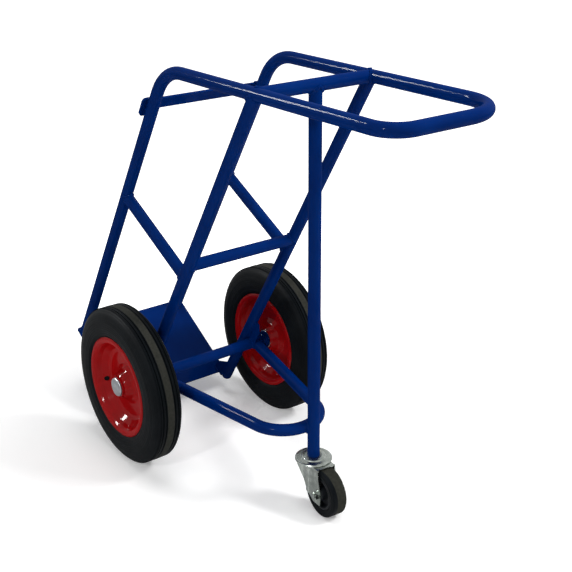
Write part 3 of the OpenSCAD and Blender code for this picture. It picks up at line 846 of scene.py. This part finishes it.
@dataclass
class Studio:
    """White sweep, soft lamps and the photograph's camera, with lengths in metres."""

    camera_at: tuple[float, float, float] = (1.16482, AXLE_Y * MM + 1.8368, 1.24433)
    right: tuple[float, float, float] = (-0.79395, 0.60796, -0.00531)
    upward: tuple[float, float, float] = (-0.23525, -0.29915, 0.92475)
    back: tuple[float, float, float] = (0.56062, 0.73546, 0.38053)
    middle: Vector = field(default_factory=lambda: Vector((0.0, 0.0, 0.4)))
    lens_mm: float = 66.418
    sensor_mm: float = 36.0
    fill: float = 0.36
    floor_white: float = 0.9
    # floor_lift is the camera-only glow near the trolley, weaker than far off, which leaves a painted shade
    # round it
    floor_lift: float = 0.25
    near_floor: float = 0.45
    far_floor: float = 1.3

    def add_camera(self) -> None:
        """Stands the camera where the photograph was taken from."""
        data = bpy.data.cameras.new("camera")
        data.lens = self.lens_mm
        data.sensor_width = self.sensor_mm
        data.clip_start = 0.05
        data.clip_end = 50.0
        camera = bpy.data.objects.new("camera", data)
        bpy.context.scene.collection.objects.link(camera)
        turn = Matrix((self.right, self.upward, self.back)).transposed()
        camera.matrix_world = Matrix.Translation(self.camera_at) @ turn.to_4x4()
        bpy.context.scene.camera = camera

    def add_world(self) -> None:
        """Soft even fill for the object, with a white background for the camera and in reflections."""
        world = bpy.data.worlds.new("studio")
        bpy.context.scene.world = world
        world.use_nodes = True
        tree = world.node_tree
        tree.nodes.clear()
        path = add_node(tree, "ShaderNodeLightPath")
        direct = add_node(
            tree,
            "ShaderNodeMath",
            {0: path.outputs["Is Camera Ray"], 1: path.outputs["Is Glossy Ray"]},
            operation="MAXIMUM",
        )
        seen = add_node(
            tree,
            "ShaderNodeMath",
            {0: direct.outputs[0], 1: path.outputs["Is Transmission Ray"]},
            operation="MAXIMUM",
        )
        fill = add_node(tree, "ShaderNodeBackground", {"Color": (1.0, 1.0, 1.0, 1.0), "Strength": self.fill})
        white = add_node(tree, "ShaderNodeBackground", {"Color": (1.0, 1.0, 1.0, 1.0), "Strength": 1.0})
        mix = add_node(
            tree, "ShaderNodeMixShader", {0: seen.outputs[0], 1: fill.outputs[0], 2: white.outputs[0]}
        )
        add_node(tree, "ShaderNodeOutputWorld", {"Surface": mix.outputs[0]})

    def add_floor(self) -> None:
        """Lays a white floor that keeps the trolley's soft shadow and glows for the camera alone, greyer
        near the trolley as painted shade.
        """
        bpy.ops.object.select_all(action="DESELECT")
        bpy.ops.mesh.primitive_plane_add(size=24.0, location=(0.0, 0.0, 0.0))
        floor = bpy.context.active_object
        floor.name = "studio_floor"
        material, tree, place = new_material("matt_white_sweep")
        # The camera alone sees the floor glow towards white. This painted brightening is weak near the
        # trolley and full far off, so the floor round the trolley stays greyer as painted shade besides its
        # real shadow
        path = add_node(tree, "ShaderNodeLightPath")
        reach = add_node(tree, "ShaderNodeVectorMath", {0: place}, operation="LENGTH").outputs["Value"]
        far = add_node(
            tree,
            "ShaderNodeMapRange",
            {
                "Value": reach,
                "From Min": self.near_floor,
                "From Max": self.far_floor,
                "To Min": self.floor_lift,
                "To Max": 1.0,
            },
            interpolation_type="SMOOTHSTEP",
        )
        lift = add_node(
            tree,
            "ShaderNodeMath",
            {0: path.outputs["Is Camera Ray"], 1: far.outputs[0]},
            operation="MULTIPLY",
        )
        glow = add_node(
            tree, "ShaderNodeEmission", {"Color": (1.0, 1.0, 1.0, 1.0), "Strength": lift.outputs[0]}
        )
        white = (self.floor_white, self.floor_white, self.floor_white, 1.0)
        paint = add_node(tree, "ShaderNodeBsdfDiffuse", {"Color": white})
        both = add_node(tree, "ShaderNodeAddShader", {0: glow.outputs[0], 1: paint.outputs[0]})
        add_node(tree, "ShaderNodeOutputMaterial", {"Surface": both.outputs[0]})
        floor.data.materials.append(material)

    def add_lamp(
        self,
        name: str,
        at: Sequence[float],
        size: tuple[float, float],
        power: float,
        mirrored: bool = False,
        lights: bool = True,
    ) -> None:
        """Hangs one soft rectangular lamp that faces the middle of the trolley.

        Args:
            name: Name of the lamp.
            at: Its place in metres.
            size: Its width and height in metres.
            power: Its power in watts.
            mirrored: Whether gloss paint and metal show its reflection.
            lights: Whether it lights the surfaces, besides being reflected.
        """
        data = bpy.data.lights.new(name, "AREA")
        data.shape = "RECTANGLE"
        data.size = size[0]
        data.size_y = size[1]
        data.energy = power
        lamp = bpy.data.objects.new(name, data)
        bpy.context.scene.collection.objects.link(lamp)
        lamp.location = at
        lamp.rotation_euler = (self.middle - Vector(at)).to_track_quat("-Z", "Y").to_euler()
        lamp.visible_glossy = mirrored
        lamp.visible_diffuse = lights

    def add_lamps(self) -> None:
        """Hangs three soft lamps that light, and two that only show as highlights on gloss."""
        # The key lamp's highlight is hung as a lamp of its own, so that its brightness is set apart
        self.add_lamp("overhead", (0.1, 0.1, 3.4), (1.4, 1.4), 36.0)
        self.add_lamp("side", (-1.5, 1.6, 2.3), (0.7, 0.7), 54.0)
        self.add_lamp("key", (2.6, 1.2, 2.1), (0.3, 0.3), 24.0)
        self.add_lamp("window", (2.6, 1.2, 2.1), (0.3, 0.3), 60.0, mirrored=True, lights=False)
        self.add_lamp("strip", (1.5, -2.05, 2.25), (0.36, 1.0), 150.0, mirrored=True, lights=False)

    def build(self) -> None:
        """Builds the whole studio."""
        bpy.context.scene.view_settings.view_transform = "Standard"
        self.add_camera()
        self.add_world()
        self.add_floor()
        self.add_lamps()
        LOG.info("studio ready")


def main() -> None:
    """Dresses the trolley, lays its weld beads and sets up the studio."""
    logging.basicConfig(level=logging.INFO, format="%(name)s: %(message)s")
    shop = PaintShop()
    shop.dress_nodes()
    Welds(shop).build()
    Studio().build()


if __name__ == "__main__":
    main()
